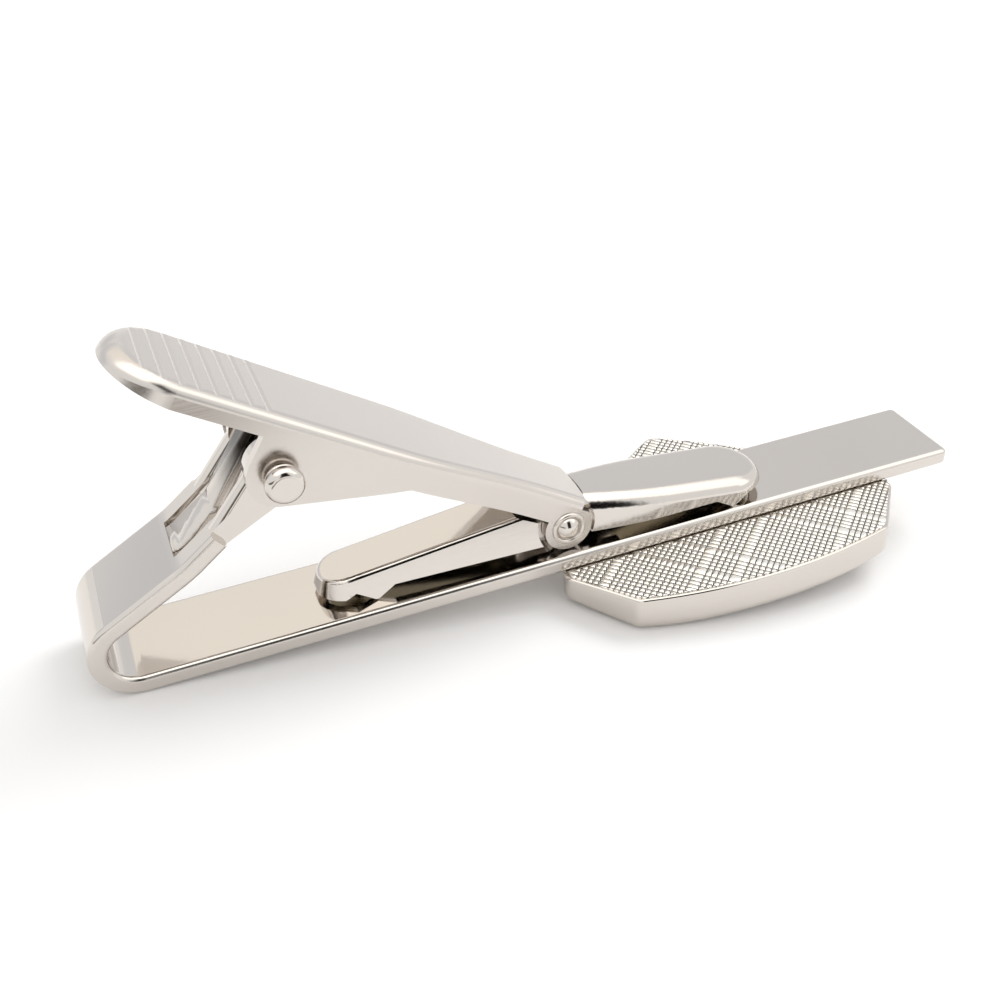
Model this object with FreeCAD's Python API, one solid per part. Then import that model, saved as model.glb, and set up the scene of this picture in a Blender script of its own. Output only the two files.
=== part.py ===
import FreeCAD, Part
import math
import os

# Tie clip: a strip bent back over itself, a thumb lever pivoted on the strip's
# arm, a see-saw jaw riveted to the lever's tail, and a shield-shaped plate
# soldered under the bar. X runs along the bar to its free end, Z is up, and the
# origin lies under the middle of the clip, on the plane of the plate's front.

V = FreeCAD.Vector
ACROSS = V(0, 1, 0)
UP = V(0, 0, 1)

# Fits between pieces
FIXED_GAP = 0.01            # round a rivet that stays put, on the radius
RUNNING_GAP = 0.04          # round a rivet that something turns on, on the radius
SIDE_GAP = 0.06             # between nested cheeks, on each side
REST_GAP = 0.05             # between a tooth and the bar, and tongue and lever
SAME = 1e-5                 # lengths closer than this are the same

# Strip: bar, bend and arm
STRIP_LENGTH = 55.1         # from the outside of the bend to the bar's free end
STRIP_WIDTH = 6.0
STRIP_THICKNESS = 1.1
STRIP_EDGE_RADIUS = 0.3
BAR_CORNER_RADIUS = 0.4
BEND_RADIUS = 1.55          # inside of the bend
ARM_SLOPE = 29.5            # degrees above the bar
ARM_KINK_RUN = 5.2          # straight arm, from the bend to where it steepens
ARM_KINK_RADIUS = 8.0       # of the arm's lower face, where it steepens
EAR_SLOPE = 38.0            # degrees above the bar, past the kink
ARM_RUN = 7.6               # whole arm, from the bend to the ears
NOTCH_RUN = 4.9             # from the bend to the notch's root
EAR_THICKNESS = 0.9
EAR_RADIUS = 1.7            # round the arm pin
EAR_BACK_ANGLE = 180.0      # degrees, where the ear's upper edge meets its round end
EAR_EDGE_RADIUS = 0.35      # along the ear's upper edge

# Spring tongue in the notch
TONGUE_WIDTH = 2.3
TONGUE_THICKNESS = 0.6
TONGUE_PIN_GAP = 0.3        # between the tongue and the arm pin that it passes
SLOT_WIDTH = 0.5            # between the tongue and the strip on each side of it

# Plate under the bar
PLATE_THICKNESS = 2.6       # in the middle
PLATE_FLAT = 4.5            # half length of the front's flat middle
PLATE_END_RISE = 0.8        # of the front's curve, from its flat middle to the shoulders
PLATE_TO_END = 16.3         # from the plate's middle to the bar's free end
PLATE_SHOULDER = 11.8       # half width at the shoulders
PLATE_SHOULDER_SETBACK = 3.3
PLATE_FOOT = 8.65           # half width at the foot's corners
PLATE_FOOT_SETBACK = 7.2
PLATE_REACH = 8.3           # from the bar's middle to the point, and to the foot's middle
PLATE_SIDE_BOW = 0.9
PLATE_FRONT_RADIUS = 0.75
PLATE_CORNER_EXTRA = 0.05   # of the upright corners' radius over the front rim's
PLATE_BACK_RADIUS = 0.15
SOLDER_LEG = 0.4

# Pivots: the jaw's rivet and the arm's pin
JAW_RIVET_HEIGHT = 1.6      # above the bar
JAW_RIVET_RADIUS = 0.5
JAW_RIVET_HEAD_RADIUS = 0.75
JAW_RIVET_HEAD_HEIGHT = 0.42
ARM_PIN_TO_BEND = 8.95      # along the bar, to the bend's centre
ARM_PIN_TO_RIVET = 16.3     # along the bar
ARM_PIN_HEIGHT = 10.6       # above the bar
ARM_PIN_RADIUS = 0.75
ARM_PIN_NECK = 0.65         # bare length between cheek and head
ARM_PIN_HEAD_RADIUS = 1.05
ARM_PIN_HEAD_HEIGHT = 0.55
ARM_PIN_HEAD_ROUND = 0.4    # of the head's outer rim

# Thumb lever, measured along and square to its web from the arm pin
LEVER_PITCH = 3.7           # degrees, of the web against the line from pin to rivet
LEVER_WIDTH = 6.5
LEVER_TAIL_WIDTH = 4.6
LEVER_SHEET = 0.6
LEVER_EDGE_RADIUS = 0.6     # along the web at the tail
THUMB_EDGE_RADIUS = 1.2     # along the web at the tip
PLAN_EASE = 2.0             # length of the curve on each side of the plan's bends
LEVER_CREST = 3.15          # top of the web above the arm pin
THUMB_REACH = 9.9           # to the rounded end
SKIRT_DEPTH = 1.3           # of the thumb pad's wall along its sides
TIP_SKIRT_DEPTH = 1.0       # of the thumb pad's wall at its tip
BELLY_REACH = 7.2           # to the corner where the cheeks narrow to rails
RAIL_DEPTH = 1.95
TAIL_OVERHANG = 0.45        # of the web past the jaw rivet
TAIL_BOW = 0.3              # of the web's end
ARM_LOBE_RADIUS = 1.8
JAW_LOBE_RADIUS = 1.5
GROOVE_COUNT = 8
GROOVE_PITCH = 0.9
GROOVE_START = 1.95         # from the arm pin towards the thumb
GROOVE_RADIUS = 0.35
GROOVE_DEPTH = 0.06

# Jaw, measured along the bar from the jaw rivet
JAW_SHEET = 0.5
JAW_CREST = 1.5             # of its web over the rivet, if both wings met there
NOSE_REACH = 15.0
NOSE_TOP = -0.15            # above the rivet, at the nose
NOSE_WIDTH = 3.6            # at the hem
NOSE_ROOT_WIDTH = 4.55
NOSE_SPLAY = 16.0           # degrees, lean of the walls
NOSE_EDGE_RADIUS = 0.3
TAIL_REACH = 14.1
TAIL_TOP = -0.2             # above the rivet, at the tail
TAIL_WIDTH = 5.15           # at the hem
TAIL_ROOT_WIDTH = 4.0
TAIL_SPLAY = 8.0            # degrees, lean of the walls
TAIL_EDGE_RADIUS = 0.95
TAIL_FLARE = 3.75           # length over which the tail wing widens, if its bend were sharp
TAIL_ROOT = 1.0             # from the rivet to where the tail wing starts to widen
WEB_END_GAP = 0.15          # between the lever's bowed end and the tail wing
LOBE_GAP = 0.35             # between the lever's lobe and the nose wing, and the web's taper
SWIVEL = 8.0                # degrees that the jaw turns on its rivet
SWIVEL_ROOM = 0.2           # between the lever's rails and the nose wing, fully turned
JOG_RUN = 0.9               # length over which a cheek steps in to the rivet
EAR_LUG_RADIUS = 1.2        # of the jaw's cheeks round the rivet
STRAP_TOP = 0.45            # of the cheeks above the rivet, between lug and wings
HEM_HEIGHT = 0.7            # of the cheeks' lower edge above the bar
NOSE_HEM_HEIGHT = 0.4       # of the nose's lower edge above the bar
NOSE_HEM_RUN = 1.3          # from the nose to where its edge rises
NOSE_TOOTH_SETBACK = 3.1    # from the nose to the tooth's tip
TAIL_TOOTH_SETBACK = 3.0    # from the tail's end to the tooth's tip
TOOTH_HALF_BASE = 1.15

# Reference places that follow from the sizes above
BAR_TOP = PLATE_THICKNESS + STRIP_THICKNESS
BAR_END = STRIP_LENGTH / 2
BEND = (-BAR_END + BEND_RADIUS + STRIP_THICKNESS, BAR_TOP + BEND_RADIUS)
ARM_PIN = (BEND[0] + ARM_PIN_TO_BEND, BAR_TOP + ARM_PIN_HEIGHT)
JAW_RIVET = (ARM_PIN[0] + ARM_PIN_TO_RIVET, BAR_TOP + JAW_RIVET_HEIGHT)
PIN_FALL = math.atan2(ARM_PIN_HEIGHT - JAW_RIVET_HEIGHT, ARM_PIN_TO_RIVET)
LEVER_SLOPE = math.degrees(PIN_FALL) + LEVER_PITCH
PLATE_X = BAR_END - PLATE_TO_END
KINK_EASE = ARM_KINK_RADIUS * math.tan(math.radians(EAR_SLOPE - ARM_SLOPE) / 2)
LEVER_HALF = LEVER_WIDTH / 2
LEVER_TAIL_HALF = LEVER_TAIL_WIDTH / 2
EAR_OUTER = LEVER_HALF - LEVER_SHEET - SIDE_GAP
STRAP_OUTER = LEVER_TAIL_HALF - LEVER_SHEET - SIDE_GAP
BEYOND = STRIP_LENGTH       # reach of a cutter that passes right through


def prism(points, low, high):
    """Polygon of (x, z) points, extruded across the clip from low to high."""
    corners = [V(x, low, z) for x, z in points]
    face = Part.Face(Part.makePolygon(corners + corners[:1]))
    return face.extrude(ACROSS * (high - low))


def slab(wire, low, high):
    """Closed wire in the plan, extruded upwards from low to high."""
    return Part.Face(wire.translated(UP * low)).extrude(UP * (high - low))


def disc(centre, radius, low, high):
    """Cylinder across the clip about an (x, z) centre."""
    x, z = centre
    return Part.makeCylinder(radius, high - low, V(x, low, z), ACROSS)


def both_sides(shape):
    """The shape and its mirror image across the clip's middle plane."""
    return shape.fuse(shape.mirror(V(0, 0, 0), ACROSS))


def joined(*shapes):
    """One solid out of shapes that overlap."""
    return shapes[0].multiFuse(list(shapes[1:])).removeSplitter()


def tangent(centre, radius, start, side):
    """Point where the line from start touches the circle, on its left (1) or right (-1)."""
    dx = centre[0] - start[0]
    dz = centre[1] - start[1]
    heading = math.atan2(dz, dx) + side * math.asin(radius / math.hypot(dx, dz))
    return (
        centre[0] - side * radius * math.sin(heading),
        centre[1] + side * radius * math.cos(heading),
    )


def arm_point(along, height):
    """(x, z) of a place on the arm, from the bend and above the arm's inner face."""
    first = math.radians(ARM_SLOPE)
    second = math.radians(EAR_SLOPE)
    before = min(along, ARM_KINK_RUN)
    after = along - before
    square = second if after > 0 else first
    return (
        BEND[0] - BEND_RADIUS * math.sin(first) + before * math.cos(first)
        + after * math.cos(second) - height * math.sin(square),
        BEND[1] + BEND_RADIUS * math.cos(first) + before * math.sin(first)
        + after * math.sin(second) + height * math.cos(square),
    )


def lever_point(along, height):
    """(x, z) of a place on the lever, along and square to its web from the arm pin."""
    slope = math.radians(LEVER_SLOPE)
    return (
        ARM_PIN[0] + along * math.cos(slope) + height * math.sin(slope),
        ARM_PIN[1] - along * math.sin(slope) + height * math.cos(slope),
    )


def on_lever(x, z):
    """The (along, height) on the lever of a place given by x and z."""
    slope = math.radians(LEVER_SLOPE)
    dx = x - ARM_PIN[0]
    dz = z - ARM_PIN[1]
    return (
        dx * math.cos(slope) - dz * math.sin(slope),
        dx * math.sin(slope) + dz * math.cos(slope),
    )


def edges_at(shape, wanted):
    """Edges of the shape whose every vertex satisfies the test."""
    return [edge for edge in shape.Edges if all(wanted(vertex.Point) for vertex in edge.Vertexes)]


def near(value, target):
    """Whether two lengths are the same."""
    return abs(value - target) < SAME


def strip_profile():
    """Face of the strip seen from the side: bar, bend and straight arm."""
    outer_radius = BEND_RADIUS + STRIP_THICKNESS
    middle = math.radians(180 + ARM_SLOPE / 2)

    def place(point):
        return V(point[0], -STRIP_WIDTH / 2, point[1])

    def on_bend(radius):
        return place((BEND[0] + radius * math.cos(middle), BEND[1] + radius * math.sin(middle)))

    def on_kink(height):
        slope = math.radians((ARM_SLOPE + EAR_SLOPE) / 2)
        centre = arm_point(ARM_KINK_RUN - KINK_EASE, ARM_KINK_RADIUS)
        radius = ARM_KINK_RADIUS - height
        return place((centre[0] + radius * math.sin(slope), centre[1] - radius * math.cos(slope)))

    bar_top = place((BAR_END, BAR_TOP))
    bar_bottom = place((BAR_END, BAR_TOP - STRIP_THICKNESS))
    inner_foot = place((BEND[0], BAR_TOP))
    outer_foot = place((BEND[0], BAR_TOP - STRIP_THICKNESS))
    inner_root = place(arm_point(0, 0))
    outer_root = place(arm_point(0, STRIP_THICKNESS))
    inner_before = place(arm_point(ARM_KINK_RUN - KINK_EASE, 0))
    inner_after = place(arm_point(ARM_KINK_RUN + KINK_EASE, 0))
    outer_before = place(arm_point(ARM_KINK_RUN - KINK_EASE, STRIP_THICKNESS))
    outer_after = place(arm_point(ARM_KINK_RUN + KINK_EASE, STRIP_THICKNESS))
    inner_end = place(arm_point(ARM_RUN, 0))
    outer_end = place(arm_point(ARM_RUN, STRIP_THICKNESS))
    outline = [
        Part.LineSegment(bar_top, inner_foot),
        Part.Arc(inner_foot, on_bend(BEND_RADIUS), inner_root),
        Part.LineSegment(inner_root, inner_before),
        Part.Arc(inner_before, on_kink(0), inner_after),
        Part.LineSegment(inner_after, inner_end),
        Part.LineSegment(inner_end, outer_end),
        Part.LineSegment(outer_end, outer_after),
        Part.Arc(outer_after, on_kink(STRIP_THICKNESS), outer_before),
        Part.LineSegment(outer_before, outer_root),
        Part.Arc(outer_root, on_bend(outer_radius), outer_foot),
        Part.LineSegment(outer_foot, bar_bottom),
        Part.LineSegment(bar_bottom, bar_top),
    ]
    return Part.Face(Part.Wire([piece.toShape() for piece in outline]))


def make_bar_strip():
    """Bar, bend and arm in one strip, with the arm's two ears round the arm pin."""
    blank = strip_profile().extrude(ACROSS * STRIP_WIDTH)
    upright = edges_at(blank, lambda p: near(p.x, BAR_END))
    upright = [edge for edge in upright if near(edge.BoundBox.YLength, 0)]
    blank = blank.makeFillet(BAR_CORNER_RADIUS, upright)
    widest = BAR_CORNER_RADIUS + STRIP_EDGE_RADIUS
    rims = [edge for edge in blank.Edges if edge.BoundBox.YLength < widest]
    rims = [edge for edge in rims if edge.BoundBox.XLength > STRIP_EDGE_RADIUS]
    arm_end = abs(arm_point(ARM_RUN, 0)[0] - arm_point(ARM_RUN, STRIP_THICKNESS)[0])
    rims = [edge for edge in rims if not near(edge.BoundBox.XLength, arm_end)]
    blank = blank.makeFillet(STRIP_EDGE_RADIUS, rims)
    notch_half = TONGUE_WIDTH / 2 + SLOT_WIDTH
    notch = prism(
        [
            arm_point(NOTCH_RUN, -STRIP_THICKNESS),
            arm_point(ARM_RUN + STRIP_THICKNESS, -2 * STRIP_THICKNESS),
            arm_point(ARM_RUN + STRIP_THICKNESS, 2 * STRIP_THICKNESS),
            arm_point(NOTCH_RUN, 2 * STRIP_THICKNESS),
        ],
        -notch_half,
        notch_half,
    )
    back = math.radians(EAR_BACK_ANGLE)
    low_corner = arm_point(ARM_RUN, 0)
    high_corner = arm_point(ARM_RUN, STRIP_THICKNESS)
    root = arm_point(ARM_RUN - EAR_THICKNESS, STRIP_EDGE_RADIUS)
    shank = prism(
        [
            root,
            low_corner,
            tangent(ARM_PIN, EAR_RADIUS, low_corner, -1),
            ARM_PIN,
            (ARM_PIN[0] + EAR_RADIUS * math.cos(back), ARM_PIN[1] + EAR_RADIUS * math.sin(back)),
            high_corner,
            arm_point(ARM_RUN - EAR_THICKNESS, STRIP_THICKNESS),
        ],
        EAR_OUTER - EAR_THICKNESS,
        EAR_OUTER,
    )
    upper = edges_at(shank, lambda p: p.x < ARM_PIN[0] - EAR_EDGE_RADIUS and p.z >= high_corner[1] - SAME)
    upper = [edge for edge in upper if near(edge.BoundBox.YLength, 0)]
    shank = shank.makeFillet(EAR_EDGE_RADIUS, upper)
    lug = disc(ARM_PIN, EAR_RADIUS, EAR_OUTER - EAR_THICKNESS, EAR_OUTER)
    ears = both_sides(joined(shank, lug))
    hole = disc(ARM_PIN, ARM_PIN_RADIUS + FIXED_GAP, -STRIP_WIDTH, STRIP_WIDTH)
    return joined(blank.cut(notch), ears).cut(hole)


def leaf_outline(path, half):
    """Closed outline of a leaf along a path of (x, z) points, half thick on each side, corners mitred."""
    runs = [V(b[0] - a[0], b[1] - a[1], 0).normalize() for a, b in zip(path[:-1], path[1:])]
    sides = []
    for point, before, after in zip(path, runs[:1] + runs, runs + runs[-1:]):
        mitre = (before + after) * (half / (1 + before.dot(after)))
        sides.append((point, V(-mitre.y, mitre.x, 0)))
    upper = [(point[0] + out.x, point[1] + out.y) for point, out in sides]
    lower = [(point[0] - out.x, point[1] - out.y) for point, out in sides]
    return upper + lower[::-1]


def make_spring_tongue():
    """Leaf between the ears: along the arm, then up past the arm pin to under the thumb pad."""
    half = TONGUE_THICKNESS / 2
    side = TONGUE_WIDTH / 2
    kink = arm_point(ARM_KINK_RUN, STRIP_THICKNESS - half)
    beside = -ARM_PIN_RADIUS - TONGUE_PIN_GAP - half
    rise = math.radians(EAR_SLOPE)
    run = (beside - on_lever(*kink)[0]) / math.cos(rise + math.radians(LEVER_SLOPE))
    path = [
        arm_point(NOTCH_RUN, STRIP_THICKNESS - half),
        kink,
        (kink[0] + run * math.cos(rise), kink[1] + run * math.sin(rise)),
        lever_point(beside, LEVER_CREST - LEVER_SHEET - REST_GAP - half),
    ]
    leaf = prism(leaf_outline(path, half), -side, side)
    return joined(leaf, disc(path[-1], half, -side, side))


def plate_outline():
    """Plan wire of the plate: a shield with a bowed foot, corners still sharp."""
    def place(x, y):
        return V(PLATE_X + x, y, 0)

    def bowed(start, end):
        chord = end - start
        outward = V(chord.y, -chord.x, 0).normalize()
        return Part.Arc(start, (start + end) * 0.5 + outward * PLATE_SIDE_BOW, end)

    point = place(0, PLATE_REACH)
    left = place(-PLATE_SHOULDER, -PLATE_SHOULDER_SETBACK)
    right = place(PLATE_SHOULDER, -PLATE_SHOULDER_SETBACK)
    foot_left = place(-PLATE_FOOT, -PLATE_FOOT_SETBACK)
    foot_right = place(PLATE_FOOT, -PLATE_FOOT_SETBACK)
    sides = [
        bowed(right, point),
        bowed(point, left),
        Part.LineSegment(left, foot_left),
        Part.Arc(foot_left, place(0, -PLATE_REACH), foot_right),
        Part.LineSegment(foot_right, right),
    ]
    return Part.Wire([side.toShape() for side in sides])


def plate_blank():
    """The plate's full outline at its full thickness, with its upright corners rounded."""
    blank = slab(plate_outline(), 0, PLATE_THICKNESS)
    upright = [edge for edge in blank.Edges if near(edge.BoundBox.ZLength, PLATE_THICKNESS)]
    return blank.makeFillet(PLATE_FRONT_RADIUS + PLATE_CORNER_EXTRA, upright)


def make_ornament_plate():
    """Shield-shaped plate: its front is flat in the middle, curves up to both ends and has a round rim."""
    run = PLATE_SHOULDER - PLATE_FLAT
    radius = (run ** 2 + PLATE_END_RISE ** 2) / (2 * PLATE_END_RISE)
    low = PLATE_X - PLATE_FLAT
    high = PLATE_X + PLATE_FLAT
    middle = prism([(low, 0), (high, 0), (high, radius), (low, radius)], -BEYOND, BEYOND)
    ends = [disc((x, radius), radius, -BEYOND, BEYOND) for x in (low, high)]
    blank = plate_blank().common(joined(middle, *ends))
    front = edges_at(blank, lambda p: p.z < PLATE_THICKNESS / 2)
    front = [edge for edge in front if not near(edge.BoundBox.XLength, 0)]
    rounded = blank.makeFillet(PLATE_FRONT_RADIUS, front)
    back = edges_at(rounded, lambda p: near(p.z, PLATE_THICKNESS))
    return rounded.makeFillet(PLATE_BACK_RADIUS, back)


def make_solder_seam(strip):
    """Two fillets of solder in the corners between the bar's edges and the plate's back."""
    edge = STRIP_WIDTH / 2
    section = [
        V(-BEYOND, edge - STRIP_EDGE_RADIUS, PLATE_THICKNESS),
        V(-BEYOND, edge + SOLDER_LEG, PLATE_THICKNESS),
        V(-BEYOND, edge, PLATE_THICKNESS + SOLDER_LEG),
        V(-BEYOND, edge - STRIP_EDGE_RADIUS, PLATE_THICKNESS + SOLDER_LEG),
    ]
    bead = Part.Face(Part.makePolygon(section + section[:1])).extrude(V(2 * BEYOND, 0, 0))
    beads = Part.makeCompound([bead, bead.mirror(V(0, 0, 0), ACROSS)])
    seat = plate_blank().translated(UP * PLATE_THICKNESS)
    kept = beads.cut(strip).common(seat)
    outer = [solid for solid in kept.Solids if abs(solid.CenterOfMass.y) > edge - STRIP_EDGE_RADIUS]
    return Part.makeCompound(outer)


def make_arm_pin():
    """Plain pin through the ears and the lever's lobes, with a headed end on each side."""
    neck_end = LEVER_HALF + ARM_PIN_NECK
    head = disc(ARM_PIN, ARM_PIN_HEAD_RADIUS, neck_end, neck_end + ARM_PIN_HEAD_HEIGHT)
    outer = edges_at(head, lambda p: near(p.y, neck_end + ARM_PIN_HEAD_HEIGHT))
    head = head.makeFillet(ARM_PIN_HEAD_ROUND, outer)
    shaft = disc(ARM_PIN, ARM_PIN_RADIUS, -neck_end, neck_end)
    return joined(shaft, head, head.mirror(V(0, 0, 0), ACROSS))


def make_jaw_rivet():
    """Rivet through the lever's tail lobes and the jaw's cheeks, domed at both ends."""
    x, z = JAW_RIVET
    radius = (JAW_RIVET_HEAD_RADIUS ** 2 + JAW_RIVET_HEAD_HEIGHT ** 2) / (2 * JAW_RIVET_HEAD_HEIGHT)
    centre = LEVER_TAIL_HALF + JAW_RIVET_HEAD_HEIGHT - radius
    ball = Part.makeSphere(radius, V(x, centre, z))
    dome = ball.common(disc(JAW_RIVET, radius, LEVER_TAIL_HALF, LEVER_TAIL_HALF + radius))
    shaft = disc(JAW_RIVET, JAW_RIVET_RADIUS, -LEVER_TAIL_HALF, LEVER_TAIL_HALF)
    return joined(shaft, dome, dome.mirror(V(0, 0, 0), ACROSS))


def eased(before, corner, after):
    """Ends and middle of the curve that eases a corner of a plan."""
    towards = (before - corner).normalize()
    onwards = (after - corner).normalize()
    start = corner + towards * PLAN_EASE
    end = corner + onwards * PLAN_EASE
    half_turn = (math.pi - towards.getAngle(onwards)) / 2
    middle = corner + ((start + end) * 0.5 - corner) * (1 / (1 + math.cos(half_turn)))
    return start, middle, end


def lever_plan(inset):
    """Plan wire of one side of the lever along its web, drawn in by inset at its edge and thumb end."""
    thumb = LEVER_HALF - inset
    tail = LEVER_TAIL_HALF - inset
    round_centre = LEVER_HALF - THUMB_REACH
    rivet = on_lever(*JAW_RIVET)[0]
    root = V(round_centre, thumb, 0)
    belly = V(BELLY_REACH, thumb, 0)
    narrow = V(rivet - JAW_LOBE_RADIUS - LOBE_GAP - PLAN_EASE, tail, 0)
    end = V(rivet + 2 * JAW_LOBE_RADIUS, tail, 0)
    belly_curve = eased(root, belly, narrow)
    narrow_curve = eased(belly, narrow, end)
    tip = V(round_centre - thumb, 0, 0)
    turn = math.radians(135)
    on_tip = V(round_centre + thumb * math.cos(turn), thumb * math.sin(turn), 0)
    sides = [
        Part.Arc(tip, on_tip, root),
        Part.LineSegment(root, belly_curve[0]),
        Part.Arc(*belly_curve),
        Part.LineSegment(belly_curve[2], narrow_curve[0]),
        Part.Arc(*narrow_curve),
        Part.LineSegment(narrow_curve[2], end),
        Part.LineSegment(end, V(end.x, 0, 0)),
        Part.LineSegment(V(end.x, 0, 0), tip),
    ]
    return Part.Wire([side.toShape() for side in sides])


def lever_cheeks(clear):
    """Side view of the lever, extruded across it: skirt, lobes, belly and rails."""
    rivet = on_lever(*JAW_RIVET)
    top = LEVER_CREST + clear
    tail_end = rivet[0] + TAIL_OVERHANG
    corner = (BELLY_REACH, LEVER_CREST - RAIL_DEPTH)
    skirt = [
        (-THUMB_REACH - clear, LEVER_CREST - TIP_SKIRT_DEPTH),
        (-THUMB_REACH, LEVER_CREST - TIP_SKIRT_DEPTH),
        (LEVER_HALF - THUMB_REACH, LEVER_CREST - SKIRT_DEPTH),
        (0, LEVER_CREST - SKIRT_DEPTH),
        (0, top),
        (-THUMB_REACH - clear, top),
    ]
    neck = [(-ARM_LOBE_RADIUS, 0), (0, 0), (0, top), (-ARM_LOBE_RADIUS, top)]
    belly = [
        (0, 0),
        tangent((0, 0), ARM_LOBE_RADIUS, corner, 1),
        corner,
        (BELLY_REACH, top),
        (0, top),
    ]
    rail = [
        corner,
        rivet,
        tangent(rivet, JAW_LOBE_RADIUS, (tail_end, LEVER_CREST), 1),
        (tail_end, LEVER_CREST),
        (tail_end, top),
        (BELLY_REACH, top),
    ]
    half = LEVER_HALF + clear
    pieces = [prism(outline, -half, half) for outline in (skirt, neck, belly, rail)]
    pieces.append(disc((0, 0), ARM_LOBE_RADIUS, -half, half))
    pieces.append(disc(rivet, JAW_LOBE_RADIUS, -half, half))
    return joined(*pieces)


def web_end(clear):
    """Block that holds the lever's bowed web end, grown by clear, with the rivet at the origin."""
    radius = (LEVER_TAIL_HALF ** 2 + TAIL_BOW ** 2) / (2 * TAIL_BOW)
    low = LEVER_CREST - LEVER_SHEET - on_lever(*JAW_RIVET)[1] - clear
    return Part.makeCylinder(radius + clear, BEYOND, V(TAIL_OVERHANG - radius, 0, low), UP)


def make_thumb_lever():
    """Channel-section lever: ribbed thumb pad, two pairs of lobes, and a web between."""
    rivet = on_lever(*JAW_RIVET)
    block = slab(lever_plan(0), -LEVER_WIDTH, LEVER_CREST)
    rim = edges_at(block, lambda p: near(p.z, LEVER_CREST) and p.x < LEVER_HALF - THUMB_REACH + SAME)
    block = both_sides(block.makeFillet(THUMB_EDGE_RADIUS, LEVER_EDGE_RADIUS, rim)).removeSplitter()
    hollow = slab(lever_plan(LEVER_SHEET), -2 * LEVER_WIDTH, LEVER_CREST - LEVER_SHEET)
    lever = block.common(lever_cheeks(LEVER_SHEET)).cut(both_sides(hollow).removeSplitter())
    tail_corner = V(rivet[0], -LEVER_HALF, LEVER_CREST - LEVER_SHEET)
    tail_end = Part.makeBox(BEYOND, LEVER_WIDTH, LEVER_SHEET, tail_corner)
    lever = lever.cut(tail_end.cut(web_end(0).translated(V(rivet[0], 0, rivet[1]))))
    groove_height = LEVER_CREST + GROOVE_RADIUS - GROOVE_DEPTH
    for number in range(GROOVE_COUNT):
        place = (-GROOVE_START - number * GROOVE_PITCH, groove_height)
        lever = lever.cut(disc(place, GROOVE_RADIUS, -LEVER_WIDTH, LEVER_WIDTH))
    lever = lever.cut(disc((0, 0), ARM_PIN_RADIUS + RUNNING_GAP, -LEVER_WIDTH, LEVER_WIDTH))
    lever = lever.cut(disc(rivet, JAW_RIVET_RADIUS + FIXED_GAP, -LEVER_WIDTH, LEVER_WIDTH))
    lever.rotate(V(0, 0, 0), ACROSS, LEVER_SLOPE)
    return lever.translated(V(ARM_PIN[0], 0, ARM_PIN[1]))


def trough(plan, splay, floor, tip, tip_top, inset, edge_radius):
    """Solid block of a wing: leaning walls, a web that falls to the tip, a rounded rim."""
    lean = math.tan(math.radians(splay))
    below = floor - JAW_RIVET_HEIGHT
    bottom = plan(inset - (floor - below) * lean).translated(UP * below)
    top = plan(inset + (JAW_CREST - floor) * lean).translated(UP * JAW_CREST)
    block = Part.makeLoft([bottom, top], True, True)
    roof = [(0, JAW_CREST - inset), (tip, tip_top - inset), (tip, -BEYOND), (0, -BEYOND)]
    block = block.common(prism(roof, -BEYOND, BEYOND))
    fall = (JAW_CREST - tip_top) / abs(tip)
    rim = edges_at(block, lambda p: near(p.z + fall * abs(p.x), JAW_CREST - inset))
    rim = [edge for edge in rim if edge.BoundBox.XLength > JAW_SHEET]
    return block.makeFillet(edge_radius, rim)


def nose_plan(inset):
    """Plan wire of the jaw's wing towards the bend, drawn in by inset."""
    half = NOSE_WIDTH / 2 - inset
    root_half = NOSE_ROOT_WIDTH / 2 - inset
    shoulder = NOSE_WIDTH / 2 - NOSE_REACH
    root = -JAW_LOBE_RADIUS
    sides = [
        Part.LineSegment(V(shoulder, half, 0), V(root, root_half, 0)),
        Part.LineSegment(V(root, root_half, 0), V(root, -root_half, 0)),
        Part.LineSegment(V(root, -root_half, 0), V(shoulder, -half, 0)),
        Part.Arc(V(shoulder, -half, 0), V(shoulder - half, 0, 0), V(shoulder, half, 0)),
    ]
    return Part.Wire([side.toShape() for side in sides])


def tail_plan(inset):
    """Plan wire of the jaw's wing towards the bar's free end, drawn in by inset."""
    half = TAIL_WIDTH / 2 - inset
    root_half = TAIL_ROOT_WIDTH / 2 - inset
    shoulder = TAIL_REACH - TAIL_WIDTH / 2
    root = V(TAIL_ROOT, root_half, 0)
    end = V(shoulder, half, 0)
    right = [root, *eased(root, V(TAIL_ROOT + TAIL_FLARE, half, 0), end), end]
    left = [V(p.x, -p.y, 0) for p in right]
    sides = [
        Part.LineSegment(left[0], right[0]),
        Part.LineSegment(right[0], right[1]),
        Part.Arc(*right[1:4]),
        Part.LineSegment(right[3], right[4]),
        Part.Arc(right[4], V(shoulder + half, 0, 0), left[4]),
        Part.LineSegment(left[4], left[3]),
        Part.Arc(*left[3:0:-1]),
        Part.LineSegment(left[1], left[0]),
    ]
    return Part.Wire([side.toShape() for side in sides])


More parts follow.
